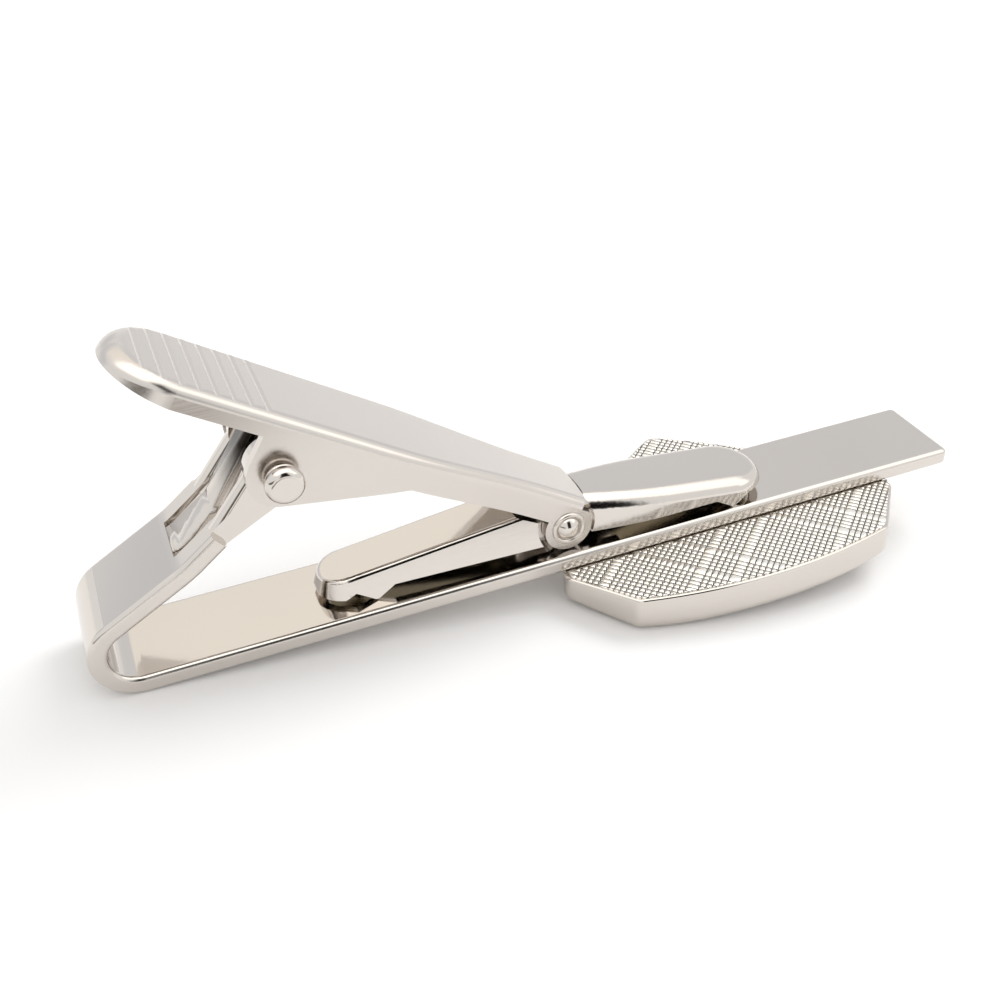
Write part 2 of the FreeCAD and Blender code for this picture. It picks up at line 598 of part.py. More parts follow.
def make_nose_wing():
    """The jaw's wing towards the bend, its end cut clear of the lever's lobes and rails."""
    root = -JAW_LOBE_RADIUS
    hem = HEM_HEIGHT - JAW_RIVET_HEIGHT
    nose_hem = NOSE_HEM_HEIGHT - JAW_RIVET_HEIGHT
    tooth = NOSE_TOOTH_SETBACK - NOSE_REACH
    outline = [
        (root, hem),
        (tooth + TOOTH_HALF_BASE, hem),
        (tooth, REST_GAP - JAW_RIVET_HEIGHT),
        (tooth - TOOTH_HALF_BASE, hem),
        (-NOSE_REACH + NOSE_HEM_RUN, nose_hem),
        (-NOSE_REACH - JAW_SHEET, nose_hem),
        (-NOSE_REACH - JAW_SHEET, JAW_CREST),
        (root, JAW_CREST),
    ]
    outside = trough(nose_plan, NOSE_SPLAY, hem, -NOSE_REACH, NOSE_TOP, 0, NOSE_EDGE_RADIUS)
    inside = trough(nose_plan, NOSE_SPLAY, hem, -NOSE_REACH, NOSE_TOP, JAW_SHEET, NOSE_EDGE_RADIUS)
    shape = outside.cut(inside).common(prism(outline, -BEYOND, BEYOND))
    shape = shape.cut(disc((0, 0), JAW_LOBE_RADIUS + LOBE_GAP, -BEYOND, BEYOND))
    rail_height = LEVER_CREST - RAIL_DEPTH - on_lever(*JAW_RIVET)[1] - SWIVEL_ROOM
    above = [(-BEYOND, rail_height), (BEYOND, rail_height), (BEYOND, BEYOND), (-BEYOND, BEYOND)]
    room = prism(above, -BEYOND, BEYOND)
    room.rotate(V(0, 0, 0), ACROSS, LEVER_SLOPE - SWIVEL)
    return shape.cut(room)


def make_tail_wing():
    """The jaw's wing towards the bar's free end, narrow at its root and flared."""
    hem = HEM_HEIGHT - JAW_RIVET_HEIGHT
    tooth = TAIL_REACH - TAIL_TOOTH_SETBACK
    outline = [
        (TAIL_ROOT, hem),
        (tooth - TOOTH_HALF_BASE, hem),
        (tooth, REST_GAP - JAW_RIVET_HEIGHT),
        (tooth + TOOTH_HALF_BASE, hem),
        (TAIL_REACH + JAW_SHEET, hem),
        (TAIL_REACH + JAW_SHEET, JAW_CREST),
        (TAIL_ROOT, JAW_CREST),
    ]
    outside = trough(tail_plan, TAIL_SPLAY, hem, TAIL_REACH, TAIL_TOP, 0, TAIL_EDGE_RADIUS)
    inner_radius = TAIL_EDGE_RADIUS - JAW_SHEET
    inside = trough(tail_plan, TAIL_SPLAY, hem, TAIL_REACH, TAIL_TOP, JAW_SHEET, inner_radius)
    shape = outside.cut(inside).common(prism(outline, -BEYOND, BEYOND))
    shape = shape.cut(disc((0, 0), JAW_LOBE_RADIUS + LOBE_GAP, -BEYOND, BEYOND))
    room = web_end(WEB_END_GAP)
    room.rotate(V(0, 0, 0), ACROSS, LEVER_SLOPE)
    return shape.cut(room)


def make_jaw_cheek():
    """One cheek of the jaw's waist: stepped in between the lever's lobes, round at the rivet."""
    hem = HEM_HEIGHT - JAW_RIVET_HEIGHT
    depth = STRAP_TOP - hem + FIXED_GAP
    waist = JAW_LOBE_RADIUS + LOBE_GAP
    taper = (NOSE_ROOT_WIDTH - NOSE_WIDTH) / (2 * NOSE_REACH - NOSE_WIDTH - 2 * JAW_LOBE_RADIUS)
    nose_half = NOSE_ROOT_WIDTH / 2 - (LOBE_GAP + 2 * JOG_RUN) * taper
    nose_half = nose_half - depth * math.tan(math.radians(NOSE_SPLAY))
    tail_half = TAIL_ROOT_WIDTH / 2 - depth * math.tan(math.radians(TAIL_SPLAY))
    outer = [
        V(-waist - 2 * JOG_RUN, nose_half, 0),
        V(-waist - JOG_RUN, nose_half, 0),
        V(-waist, STRAP_OUTER, 0),
        V(waist, STRAP_OUTER, 0),
        V(waist + JOG_RUN, tail_half, 0),
        V(waist + 2 * JOG_RUN, tail_half, 0),
    ]
    inner = [V(p.x, p.y - JAW_SHEET, 0) for p in outer]
    band = slab(Part.makePolygon(outer + inner[::-1] + outer[:1]), -BEYOND, BEYOND)
    start = outer[0].x
    strap = prism([(start, hem), (BEYOND, hem), (BEYOND, STRAP_TOP), (start, STRAP_TOP)], 0, BEYOND)
    lug = disc((0, 0), EAR_LUG_RADIUS, 0, BEYOND)
    return band.common(joined(strap, lug))


def make_jaw():
    """See-saw jaw: two toothed wings joined by the cheeks that hold the rivet."""
    cheek = make_jaw_cheek()
    jaw = joined(make_nose_wing(), make_tail_wing(), cheek, cheek.mirror(V(0, 0, 0), ACROSS))
    jaw = jaw.cut(disc((0, 0), JAW_RIVET_RADIUS + RUNNING_GAP, -BEYOND, BEYOND))
    return jaw.translated(V(JAW_RIVET[0], 0, JAW_RIVET[1]))


def main():
    """Build every piece and write each to its own file."""
    strip = make_bar_strip()
    pieces = {
        "bar_strip": strip,
        "spring_tongue": make_spring_tongue(),
        "ornament_plate": make_ornament_plate(),
        "solder_seam": make_solder_seam(strip),
        "arm_pin": make_arm_pin(),
        "thumb_lever": make_thumb_lever(),
        "jaw_rivet": make_jaw_rivet(),
        "jaw": make_jaw(),
    }
    os.makedirs("parts", exist_ok=True)
    for name, shape in pieces.items():
        shape.exportStep(os.path.join("parts", name + ".step"))
        box = shape.BoundBox
        print(
            f"{name}: valid {shape.isValid()}, {len(shape.Solids)} solid(s), {shape.Volume:.2f} mm3, "
            f"x {box.XMin:.2f}..{box.XMax:.2f}, y {box.YMin:.2f}..{box.YMax:.2f}, "
            f"z {box.ZMin:.2f}..{box.ZMax:.2f}"
        )


main()
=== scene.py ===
import logging
import math
from dataclasses import dataclass, field
from enum import Enum

import bmesh
import bpy
from mathutils import Euler, Matrix, Vector, noise


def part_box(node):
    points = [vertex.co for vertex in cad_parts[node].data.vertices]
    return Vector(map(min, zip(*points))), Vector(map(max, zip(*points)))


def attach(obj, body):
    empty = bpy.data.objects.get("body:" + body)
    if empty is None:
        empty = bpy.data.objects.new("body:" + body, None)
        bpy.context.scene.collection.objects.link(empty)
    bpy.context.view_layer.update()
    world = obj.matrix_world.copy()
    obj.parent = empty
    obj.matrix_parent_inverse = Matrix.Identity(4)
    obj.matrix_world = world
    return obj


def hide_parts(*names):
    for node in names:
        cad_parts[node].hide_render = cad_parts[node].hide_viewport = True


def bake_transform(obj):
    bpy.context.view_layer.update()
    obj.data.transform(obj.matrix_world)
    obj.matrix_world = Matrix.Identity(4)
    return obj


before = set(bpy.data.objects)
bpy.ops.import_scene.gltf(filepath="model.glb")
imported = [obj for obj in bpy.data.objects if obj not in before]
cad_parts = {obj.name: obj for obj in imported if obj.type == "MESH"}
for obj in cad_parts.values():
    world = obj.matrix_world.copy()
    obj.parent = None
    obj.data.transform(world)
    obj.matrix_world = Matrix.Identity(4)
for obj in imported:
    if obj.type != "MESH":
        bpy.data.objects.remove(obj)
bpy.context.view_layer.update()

MM = 0.001
# The clip's two sides, and the plate's two halves beside the bar, by the sign of y.
SIDES = {-1: "front", 1: "back"}
HALVES = {-1: "foot", 1: "point"}
RING_SECTION_SIDES = 10
RING_STEPS = 40
log = logging.getLogger("tie_clip")


class Body(Enum):
    """Bodies that new pieces ride on."""

    FRAME = "frame"
    LEVER = "lever"


class Slot(Enum):
    """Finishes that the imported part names."""

    POLISHED = "polished_nickel"
    SATIN = "satin_nickel"
    SOLDER = "plated_solder"


def linear(colour: str) -> tuple[float, float, float, float]:
    """Turn an sRGB hex colour into the linear colour that shaders take.

    Args:
        colour: Six hex digits after a hash sign.
    Returns:
        Linear red, green, blue and an alpha of one.
    """
    parts = [int(colour[i:i + 2], 16) / 255 for i in (1, 3, 5)]
    flat = [p / 12.92 if p <= 0.04045 else ((p + 0.055) / 1.055) ** 2.4 for p in parts]
    return (*flat, 1.0)


def put(
    tree: bpy.types.NodeTree, kind: str, inputs: dict | None = None, **settings: object
) -> bpy.types.Node:
    """Add a node, set its properties, and set or link its inputs.

    Args:
        tree: Node tree that takes the node.
        kind: Blender's name of the node's class.
        inputs: Value, or feeding output socket, for each input by name or number.
        settings: Properties of the node by name.
    Returns:
        The new node.
    """
    node = tree.nodes.new(kind)
    for name, value in settings.items():
        setattr(node, name, value)
    for name, value in (inputs or {}).items():
        if isinstance(value, bpy.types.NodeSocket):
            tree.links.new(value, node.inputs[name])
        else:
            node.inputs[name].default_value = value
    return node


def work(
    tree: bpy.types.NodeTree, operation: str, *inputs: bpy.types.NodeSocket | float
) -> bpy.types.NodeSocket:
    """Add a maths node.

    Args:
        tree: Node tree that takes the node.
        operation: Blender's name of the operation.
        inputs: Values, or feeding output sockets, in order.
    Returns:
        The node's result.
    """
    return put(tree, "ShaderNodeMath", dict(enumerate(inputs)), operation=operation).outputs["Value"]


def new_tree(name: str) -> tuple[bpy.types.Material, bpy.types.NodeTree]:
    """Start a material with an empty node tree.

    Args:
        name: Name of the material.
    Returns:
        The material and its node tree.
    """
    material = bpy.data.materials.new(name)
    material.use_nodes = True
    material.node_tree.nodes.clear()
    return material, material.node_tree


def new_piece(name: str, mesh: bmesh.types.BMesh) -> bpy.types.Object:
    """Turn a finished bmesh into an object at the origin.

    Args:
        name: Name of the piece.
        mesh: Geometry in metres in the clip's frame; it is freed.
    Returns:
        The object, smooth shaded.
    """
    data = bpy.data.meshes.new(name)
    for face in mesh.faces:
        face.smooth = True
    mesh.to_mesh(data)
    mesh.free()
    piece = bpy.data.objects.new(name, data)
    bpy.context.scene.collection.objects.link(piece)
    return piece


@dataclass(frozen=True)
class PlatedNickel:
    """Bright nickel electroplate on polished brass.

    The plate is a warm grey mirror. Buffing leaves it faintly rippled, and fine
    wiping lines along the clip spread the reflections a little. Sheared sides, past
    edge_half from the clip's middle, are buffed less and blur what they mirror. In
    recesses a dark colour is painted in as shade.
    Lengths in mm; the clouds in the tint are cloud_ripples ripples wide.
    """

    name: str
    colour: str
    worn: str
    roughness: float
    haze: float
    ripple_spacing: float
    ripple_height: float
    wipe_spacing: float = 0.05
    wipe_length: float = 3.0
    wipe_range: tuple[float, float] = (0.3, 0.7)
    cloud_ripples: float = 6.0
    edge_half: float = 0.0
    edge_fade: float = 0.1
    edge_haze: float = 0.0
    # Colour of the painted shade in recesses; empty for none.
    painted_shade: str = ""

    def recess(self, tree: bpy.types.NodeTree, axes: bpy.types.Node) -> bpy.types.NodeSocket:
        """Tell from the piece's attribute how much painted shade a spot takes in a recess.

        Args:
            tree: Node tree of the material.
            axes: Node that gives the spot's place by axis.
        Returns:
            Output that runs from 0 on the open surface to 1 in the recess.
        """
        return put(tree, "ShaderNodeAttribute", attribute_name="painted_shade").outputs["Fac"]

    def roughness_of(
        self, tree: bpy.types.NodeTree, place: bpy.types.NodeSocket, axes: bpy.types.Node
    ) -> bpy.types.NodeSocket:
        """Spread the roughness along the wiping lines, and add the sheared sides' haze.

        Args:
            tree: Node tree of the material.
            place: Output that gives the spot's place.
            axes: Node that gives the spot's place by axis.
        Returns:
            Output with the roughness.
        """
        fine = 1 / (self.wipe_spacing * MM)
        along = put(tree, "ShaderNodeMapping", {
            "Vector": place,
            "Scale": (1 / (self.wipe_length * MM), fine, fine),
        })
        wipe = put(tree, "ShaderNodeTexNoise", {
            "Vector": along.outputs["Vector"],
            "Scale": 1.0,
            "Detail": 3.0,
        })
        gloss = put(tree, "ShaderNodeMapRange", {
            "Value": wipe.outputs["Fac"],
            "From Min": self.wipe_range[0],
            "From Max": self.wipe_range[1],
            "To Min": self.roughness,
            "To Max": self.roughness + self.haze,
        })
        if not self.edge_haze:
            return gloss.outputs["Result"]
        sheared = put(tree, "ShaderNodeMapRange", {
            "Value": work(tree, "ABSOLUTE", axes.outputs["Y"]),
            "From Min": (self.edge_half - self.edge_fade) * MM,
            "From Max": self.edge_half * MM,
            "To Max": self.edge_haze,
        })
        return work(tree, "ADD", gloss.outputs["Result"], sheared.outputs["Result"])

    def colour_of(
        self, tree: bpy.types.NodeTree, place: bpy.types.NodeSocket, axes: bpy.types.Node
    ) -> bpy.types.NodeSocket:
        """Cloud the plate's colour, and paint shade into recesses as a dark colour.

        Args:
            tree: Node tree of the material.
            place: Output that gives the spot's place.
            axes: Node that gives the spot's place by axis.
        Returns:
            Output with the colour.
        """
        cloud = put(tree, "ShaderNodeTexNoise", {
            "Vector": place,
            "Scale": 1 / (self.cloud_ripples * self.ripple_spacing * MM),
            "Detail": 4.0,
        })
        tint = put(tree, "ShaderNodeMix", {
            "Factor": cloud.outputs["Fac"],
            "A": linear(self.colour),
            "B": linear(self.worn),
        }, data_type="RGBA")
        if not self.painted_shade:
            return tint.outputs["Result"]
        # Painted shade: the dark colour is mixed in where the spot lies in a recess.
        shaded = put(tree, "ShaderNodeMix", {
            "Factor": self.recess(tree, axes),
            "A": tint.outputs["Result"],
            "B": linear(self.painted_shade),
        }, data_type="RGBA")
        return shaded.outputs["Result"]

    def material(self) -> bpy.types.Material:
        """Build the material with its ripple, wiping lines and tint.

        Returns:
            The material.
        """
        material, tree = new_tree(self.name)
        place = put(tree, "ShaderNodeTexCoord").outputs["Object"]
        axes = put(tree, "ShaderNodeSeparateXYZ", {"Vector": place})
        ripple = put(tree, "ShaderNodeTexNoise", {
            "Vector": place,
            "Scale": 1 / (self.ripple_spacing * MM),
            "Detail": 2.0,
            "Roughness": 0.4,
        })
        bump = put(tree, "ShaderNodeBump", {
            "Height": ripple.outputs["Fac"],
            "Strength": 1.0,
            "Distance": self.ripple_height * MM,
        })
        surface = put(tree, "ShaderNodeBsdfPrincipled", {
            "Base Color": self.colour_of(tree, place, axes),
            "Metallic": 1.0,
            "Roughness": self.roughness_of(tree, place, axes),
            "Normal": bump.outputs["Normal"],
        })
        put(tree, "ShaderNodeOutputMaterial", {"Surface": surface.outputs["BSDF"]})
        return material


@dataclass(frozen=True)
class Trough:
    """Where one trough runs along the clip, and how far it reaches across. Sizes in mm."""

    middle: float
    half_run: float
    in_wall: float


@dataclass(frozen=True)
class TroughNickel(PlatedNickel):
    """Plate on a piece with troughs along the clip, with painted shade inside them.

    The troughs' webs slope down from the clip's middle, and their walls lean out
    below the webs. Height in mm at the clip's middle, slopes in mm per mm.
    """

    troughs: tuple[Trough, ...] = ()
    under_web: float = 0.0
    web_slope: float = 0.0
    wall_slope: float = 0.0

    def recess(self, tree: bpy.types.NodeTree, axes: bpy.types.Node) -> bpy.types.NodeSocket:
        """Tell whether a spot lies under a trough's web and between its walls.

        Args:
            tree: Node tree of the material.
            axes: Node that gives the spot's place by axis.
        Returns:
            Output that is 1 inside a trough and 0 elsewhere.
        """
        along, across, up = (axes.outputs[axis] for axis in "XYZ")
        height = work(tree, "MULTIPLY_ADD", work(tree, "ABSOLUTE", along), self.web_slope, up)
        reach = work(tree, "MULTIPLY_ADD", height, self.wall_slope, work(tree, "ABSOLUTE", across))
        inside = 0.0
        for trough in self.troughs:
            beside = work(tree, "COMPARE", along, trough.middle * MM, trough.half_run * MM)
            between = work(tree, "LESS_THAN", reach, trough.in_wall * MM)
            inside = work(tree, "MULTIPLY_ADD", beside, between, inside)
        return work(tree, "MULTIPLY", inside, work(tree, "LESS_THAN", height, self.under_web * MM))


# Colour, worn colour, roughness, haze, and the ripple's spacing and height in mm.
POLISHED = ("#D9D3CD", "#D3CDC6", 0.08, 0.05, 2.2, 0.0012)
BUFFED = ("#D8D2CC", "#D2CCC6", 0.19, 0.07, 1.6, 0.0010)
# Mirror polish: a sharp picture of the pieces around it.
MIRROR = PlatedNickel("nickel_plate_mirror_polished", *POLISHED)
# Jaw polish: a mirror outside, with painted shade, a dark colour, inside the troughs of nose and tail.
TROUGH = TroughNickel(
    "nickel_plate_on_trough_painted_shade",
    *POLISHED,
    painted_shade="#96907F",
    troughs=(Trough(-8.2, 5.7, 3.3), Trough(8.9, 4.4, 3.83)),
    under_web=6.6,
    web_slope=0.12,
    wall_slope=0.31,
)
# Strip polish: a mirror on the rolled faces, blurred along the sheared sides.
STRIP = PlatedNickel("nickel_plate_on_sheared_strip", *POLISHED, edge_half=2.98, edge_haze=0.12)
# Satin polish: the same plate buffed less, so that reflections lose their edges.
SATIN = PlatedNickel("nickel_plate_satin_buffed", *BUFFED)
# Spring leaf: satin, with painted shade, a dark colour, where it runs into the lever's recess.
SPRING = PlatedNickel("nickel_plate_spring_leaf_painted_shade", *BUFFED, painted_shade="#2C2824")
# Stamped nickel: straight from the die, bright but uneven.
STAMPED = PlatedNickel("nickel_plate_die_stamped", "#FBF8F3", "#F4F0E9", 0.22, 0.06, 0.35, 0.0040)
# Plated solder: a cast surface under the plate, pitted and dull; its dark colour is also painted shade of
# the crevice between bar and plate.
SOLDERED = PlatedNickel("nickel_plate_on_solder_painted_crevice_shade", "#958D80", "#6E675C", 0.25, 0.15, 0.18, 0.0200)


def dress(piece: bpy.types.Object, finish: bpy.types.Material) -> None:
    """Give a piece one finish on every slot.

    Args:
        piece: Object to dress.
        finish: Material for it.
    """
    if not piece.material_slots:
        piece.data.materials.append(finish)
    for slot in piece.material_slots:
        slot.material = finish


def mount(piece: bpy.types.Object, body: Body, finish: bpy.types.Material) -> None:
    """Dress a new piece and fix it to a body.

    Args:
        piece: Object in place.
        body: Body that it moves with.
        finish: Material for it.
    """
    dress(piece, finish)
    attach(piece, body.value)
    log.info("%s: %d faces on %s", piece.name, len(piece.data.polygons), body.value)


def ring(name: str, centre: tuple[float, float, float], radius: float, wire: float) -> bpy.types.Object:
    """Make a round ring about an axis across the clip.

    Args:
        name: Name of the piece.
        centre: Middle of the ring, in mm.
        radius: From the axis to the middle of the ring's section, in mm.
        wire: Radius of the ring's section, in mm.
    Returns:
        The ring.
    """
    mesh = bmesh.new()
    section = bmesh.ops.create_circle(
        mesh, segments=RING_SECTION_SIDES, radius=wire, matrix=Matrix.Translation((radius, 0, 0))
    )
    bmesh.ops.spin(
        mesh, geom=[*section["verts"], *mesh.edges], cent=(0, 0, 0), axis=(0, 1, 0),
        angle=math.tau, steps=RING_STEPS, use_merge=True,
    )
    bmesh.ops.recalc_face_normals(mesh, faces=mesh.faces)
    bmesh.ops.translate(mesh, verts=mesh.verts, vec=centre)
    bmesh.ops.scale(mesh, verts=mesh.verts, vec=(MM, MM, MM))
    return new_piece(name, mesh)


def ring_pair(
    kind: str, pin: str, out: float, radius: float, wire: float
) -> list[bpy.types.Object]:
    """Make a ring round a pin on each side of the clip.

    Args:
        kind: What the rings are called before their side.
        pin: Name of the pin's node.
        out: From the clip's middle to each ring, in mm.
        radius: From the pin's axis to the middle of a ring's section, in mm.
        wire: Radius of a ring's section, in mm.
    Returns:
        The front ring and the back ring.
    """
    low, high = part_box(pin)
    middle = (low + high) / (2 * MM)
    return [
        ring(f"{kind}_{end}", (middle.x, side * out, middle.z), radius, wire)
        for side, end in SIDES.items()
    ]


@dataclass
class Finishes:
    """The materials, each built once."""

    mirror: bpy.types.Material = field(default_factory=MIRROR.material)
    trough: bpy.types.Material = field(default_factory=TROUGH.material)
    strip: bpy.types.Material = field(default_factory=STRIP.material)
    satin: bpy.types.Material = field(default_factory=SATIN.material)
    spring: bpy.types.Material = field(default_factory=SPRING.material)
    stamped: bpy.types.Material = field(default_factory=STAMPED.material)
    solder: bpy.types.Material = field(default_factory=SOLDERED.material)


@dataclass
class Plate:
    """Shield-shaped plate: its stamped waffle back and the solder along the bar. Sizes in mm."""

    middle: float = 11.25
    back: float = 2.6
    shoulder: tuple[float, float] = (11.8, -3.3)
    foot: tuple[float, float] = (8.65, -7.2)
    reach: float = 8.3
    side_bow: float = 0.9
    rim: float = 0.2
    corner: float = 0.8
    bar_half: float = 3.0
    pitch: float = 0.35
    wide_row: float = 2.0
    wide_rows: tuple[int, ...] = (0, 5)
    repeat: int = 18
    reach_rows: int = 44
    first_row: tuple[float, float] = (-0.62, -4.15)
    turn: float = 43.7
    stud_steps: tuple[tuple[float, float], ...] = ((0.02, 0.03), (0.05, 0.06), (0.05, 0.025))
    arc_cuts: int = 9
    bead_radius: float = 0.08
    bead_sides: int = 10
    bead_step: float = 0.12
    bead_lift: float = 0.02
    bead_lump: float = 0.7
    lumps_per_mm: float = 2.1
    lump_shift: float = 7.0
    lump_dimension: float = 1.0
    lump_lacunarity: float = 2.0
    lump_octaves: int = 3

    def spread(self, row: int) -> float:
        """Place of a row's line across the waffle, in mm, with the plaid's wide rows let in.

        Args:
            row: Number of the line, from the middle outwards.
        Returns:
            Distance from the middle line.
        """
        steps = range(0, row) if row >= 0 else range(row, 0)
        wide = sum(1 for step in steps if step % self.repeat in self.wide_rows)
        across = len(steps) + wide * (self.wide_row - 1)
        return math.copysign(across, row) * self.pitch

    def sides(self) -> list[tuple[Vector, Vector]]:
        """Cutting planes round the waffle, each a point and the way out.

        Returns:
            Planes tangent to the plate's sides, drawn in by the rim.
        """
        point = Vector((0, self.reach, 0))
        left = Vector((-self.shoulder[0], self.shoulder[1], 0))
        right = Vector((self.shoulder[0], self.shoulder[1], 0))
        foot_left = Vector((-self.foot[0], self.foot[1], 0))
        foot_right = Vector((self.foot[0], self.foot[1], 0))
        runs = (
            (point, left, self.side_bow),
            (left, foot_left, 0),
            (foot_left, foot_right, self.reach + self.foot[1]),
            (foot_right, right, 0),
            (right, point, self.side_bow),
        )
        planes = []
        corners = [start for start, _, _ in runs]
        for before, corner, after in zip(corners[-1:] + corners[:-1], corners, corners[1:] + corners[:1]):
            inward = ((before - corner).normalized() + (after - corner).normalized()).normalized()
            half = inward.angle(after - corner)
            trim = (self.corner / math.sin(half) - self.corner) + self.rim
            planes.append((corner + inward * trim, -inward))
        for start, end, bow in runs:
            chord = end - start
            out = Vector((chord.y, -chord.x, 0)).normalized()
            out = out if out.dot(start + end) > 0 else -out
            if not bow:
                planes.append((start - out * self.rim, out))
                continue
            radius = (chord.length_squared / 4 + bow * bow) / (2 * bow)
            centre = (start + end) / 2 + out * (bow - radius)
            half_arc = math.asin(chord.length / 2 / radius)
            for cut in range(self.arc_cuts):
                turn = half_arc * (2 * (cut + 0.5) / self.arc_cuts - 1)
                heading = Matrix.Rotation(turn, 3, "Z") @ out
                planes.append((centre + heading * (radius - self.rim), heading))
        return planes

    def build_waffle(self, side: int) -> bpy.types.Object:
        """Stamped studs on the plate's back, on one side of the bar.

        Args:
            side: 1 for the pointed half, -1 for the foot.
        Returns:
            The sheet of studs.
        """
        mesh = bmesh.new()
        rows = 2 * self.reach_rows
        bmesh.ops.create_grid(mesh, x_segments=rows, y_segments=rows, size=self.reach_rows)
        for vert in mesh.verts:
            vert.co = Vector((self.spread(round(vert.co.x)), self.spread(round(vert.co.y)), 0))
        bmesh.ops.translate(mesh, verts=mesh.verts, vec=(*self.first_row, 0))
        bmesh.ops.rotate(mesh, verts=mesh.verts, matrix=Matrix.Rotation(math.radians(self.turn), 3, "Z"))
        bar_edge = Vector((0, side * (self.bar_half + self.bead_radius / 2), 0))
        planes = [*self.sides(), (bar_edge, Vector((0, -side, 0)))]
        beyond = self.wide_row * self.pitch
        outside = [
            face for face in mesh.faces
            if any((face.calc_center_median() - place).dot(out) > beyond for place, out in planes)
        ]
        bmesh.ops.delete(mesh, geom=outside, context="FACES")
        for inset, rise in self.stud_steps:
            bmesh.ops.inset_individual(
                mesh, faces=mesh.faces, thickness=inset, depth=rise, use_even_offset=True
            )
        for place, out in planes:
            bmesh.ops.bisect_plane(
                mesh,
                geom=[*mesh.verts, *mesh.edges, *mesh.faces],
                plane_co=place,
                plane_no=out,
                clear_outer=True,
            )
        border = [edge for edge in mesh.edges if edge.is_boundary]
        for part in bmesh.ops.extrude_edge_only(mesh, edges=border)["geom"]:
            if isinstance(part, bmesh.types.BMVert):
                part.co.z = 0
        bmesh.ops.recalc_face_normals(mesh, faces=mesh.faces)
        if max(mesh.faces, key=lambda face: face.calc_center_median().z).normal.z < 0:
            bmesh.ops.reverse_faces(mesh, faces=mesh.faces)
        bmesh.ops.translate(mesh, verts=mesh.verts, vec=(self.middle, 0, self.back))
        bmesh.ops.scale(mesh, verts=mesh.verts, vec=(MM, MM, MM))
        return new_piece(f"waffle_{HALVES[side]}", mesh)

    def build_bead(self, side: int) -> bpy.types.Object:
        """Lumpy solder in the corner between the bar's edge and the plate.

        Args:
            side: 1 for the pointed half, -1 for the foot.
        Returns:
            The bead.
        """
        seam = [v.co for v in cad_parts["solder_seam"].data.vertices if v.co.y * side > 0]
        low = min(co.x for co in seam) / MM + self.bead_radius
        high = max(co.x for co in seam) / MM - self.bead_radius
        mesh = bmesh.new()
        bmesh.ops.create_cone(
            mesh, cap_ends=True, segments=self.bead_sides,
            radius1=self.bead_radius, radius2=self.bead_radius,
            depth=high - low, matrix=Matrix.Rotation(math.radians(90), 4, "Y"),
        )
        runs = [
            edge for edge in mesh.edges
            if abs(edge.verts[0].co.x - edge.verts[1].co.x) > self.bead_radius
        ]
        bmesh.ops.subdivide_edges(mesh, edges=runs, cuts=int((high - low) / self.bead_step))
        shift = Vector((0, self.lump_shift * side, 0))
        for vert in mesh.verts:
            spot = vert.co * self.lumps_per_mm + shift
            lump = noise.fractal(spot, self.lump_dimension, self.lump_lacunarity, self.lump_octaves)
            vert.co.yz *= 1 + self.bead_lump * lump
        beside = side * (self.bar_half + self.bead_lift)
        bmesh.ops.translate(
            mesh, verts=mesh.verts, vec=((low + high) / 2, beside, self.back + self.bead_lift)
        )
        bmesh.ops.scale(mesh, verts=mesh.verts, vec=(MM, MM, MM))
        return new_piece(f"solder_bead_{HALVES[side]}", mesh)

    def build(self, finishes: Finishes) -> None:
        """Add the studs and the solder, and dress the plate.

        Args:
            finishes: Materials to dress with.
        """
        dress(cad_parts["ornament_plate"], finishes.mirror)
        for side in HALVES:
            mount(self.build_waffle(side), Body.FRAME, finishes.stamped)
            bead = self.build_bead(side)
            mount(bead, Body.FRAME, finishes.solder)
            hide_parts("solder_seam")


@dataclass
class Strip:
    """Bent strip with its pin and spring tongue. Sizes in mm."""

    tongue_cuts: int = 18
    tongue_taper: float = 0.45
    # Shares of the leaf's height over which its painted shade fades in.
    tongue_painted_shade: tuple[float, float] = (0.42, 0.7)
    tip_inset: float = 0.3
    weld: float = 0.001
    collar_place: float = 3.53
    collar_radius: float = 0.8
    collar_wire: float = 0.13

    def build_tongue(self) -> bpy.types.Object:
        """Spring leaf, narrowed towards its tip and cut across many times.

        Returns:
            The leaf.
        """
        mesh = bmesh.new()
        mesh.from_mesh(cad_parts["spring_tongue"].data)
        bmesh.ops.remove_doubles(mesh, verts=mesh.verts, dist=self.weld * MM)
        low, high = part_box("spring_tongue")
        for cut in range(1, self.tongue_cuts):
            height = low.z + (high.z - low.z) * cut / self.tongue_cuts
            bmesh.ops.bisect_plane(
                mesh,
                geom=[*mesh.verts, *mesh.edges, *mesh.faces],
                plane_co=(0, 0, height),
                plane_no=(0, 0, 1),
            )
        # Painted shade on the leaf: darker with height, where it runs into the lever's recess.
        painted_shade = mesh.verts.layers.float.new("painted_shade")
        first, last = self.tongue_painted_shade
        for vert in mesh.verts:
            share = (vert.co.z - low.z) / (high.z - low.z)
            vert.co.y *= 1 - self.tongue_taper * share
            vert[painted_shade] = min(max((share - first) / (last - first), 0), 1)
        return new_piece("spring_leaf", mesh)

    def build(self, finishes: Finishes) -> None:
        """Dress the strip and its pin, and add the leaf and the pin's collars.

        Args:
            finishes: Materials to dress with.
        """
        dress(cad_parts["bar_strip"], finishes.strip)
        dress(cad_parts["arm_pin"], finishes.mirror)
        leaf = self.build_tongue()
        dress(leaf, finishes.spring)
        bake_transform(leaf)
        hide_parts("spring_tongue")
        log.info(
            "%s: %d faces from %s to %s",
            leaf.name, len(leaf.data.polygons), Body.FRAME.value, Body.LEVER.value,
        )
        for collar in ring_pair(
            "pin_collar", "arm_pin", self.collar_place, self.collar_radius, self.collar_wire
        ):
            mount(collar, Body.FRAME, finishes.mirror)


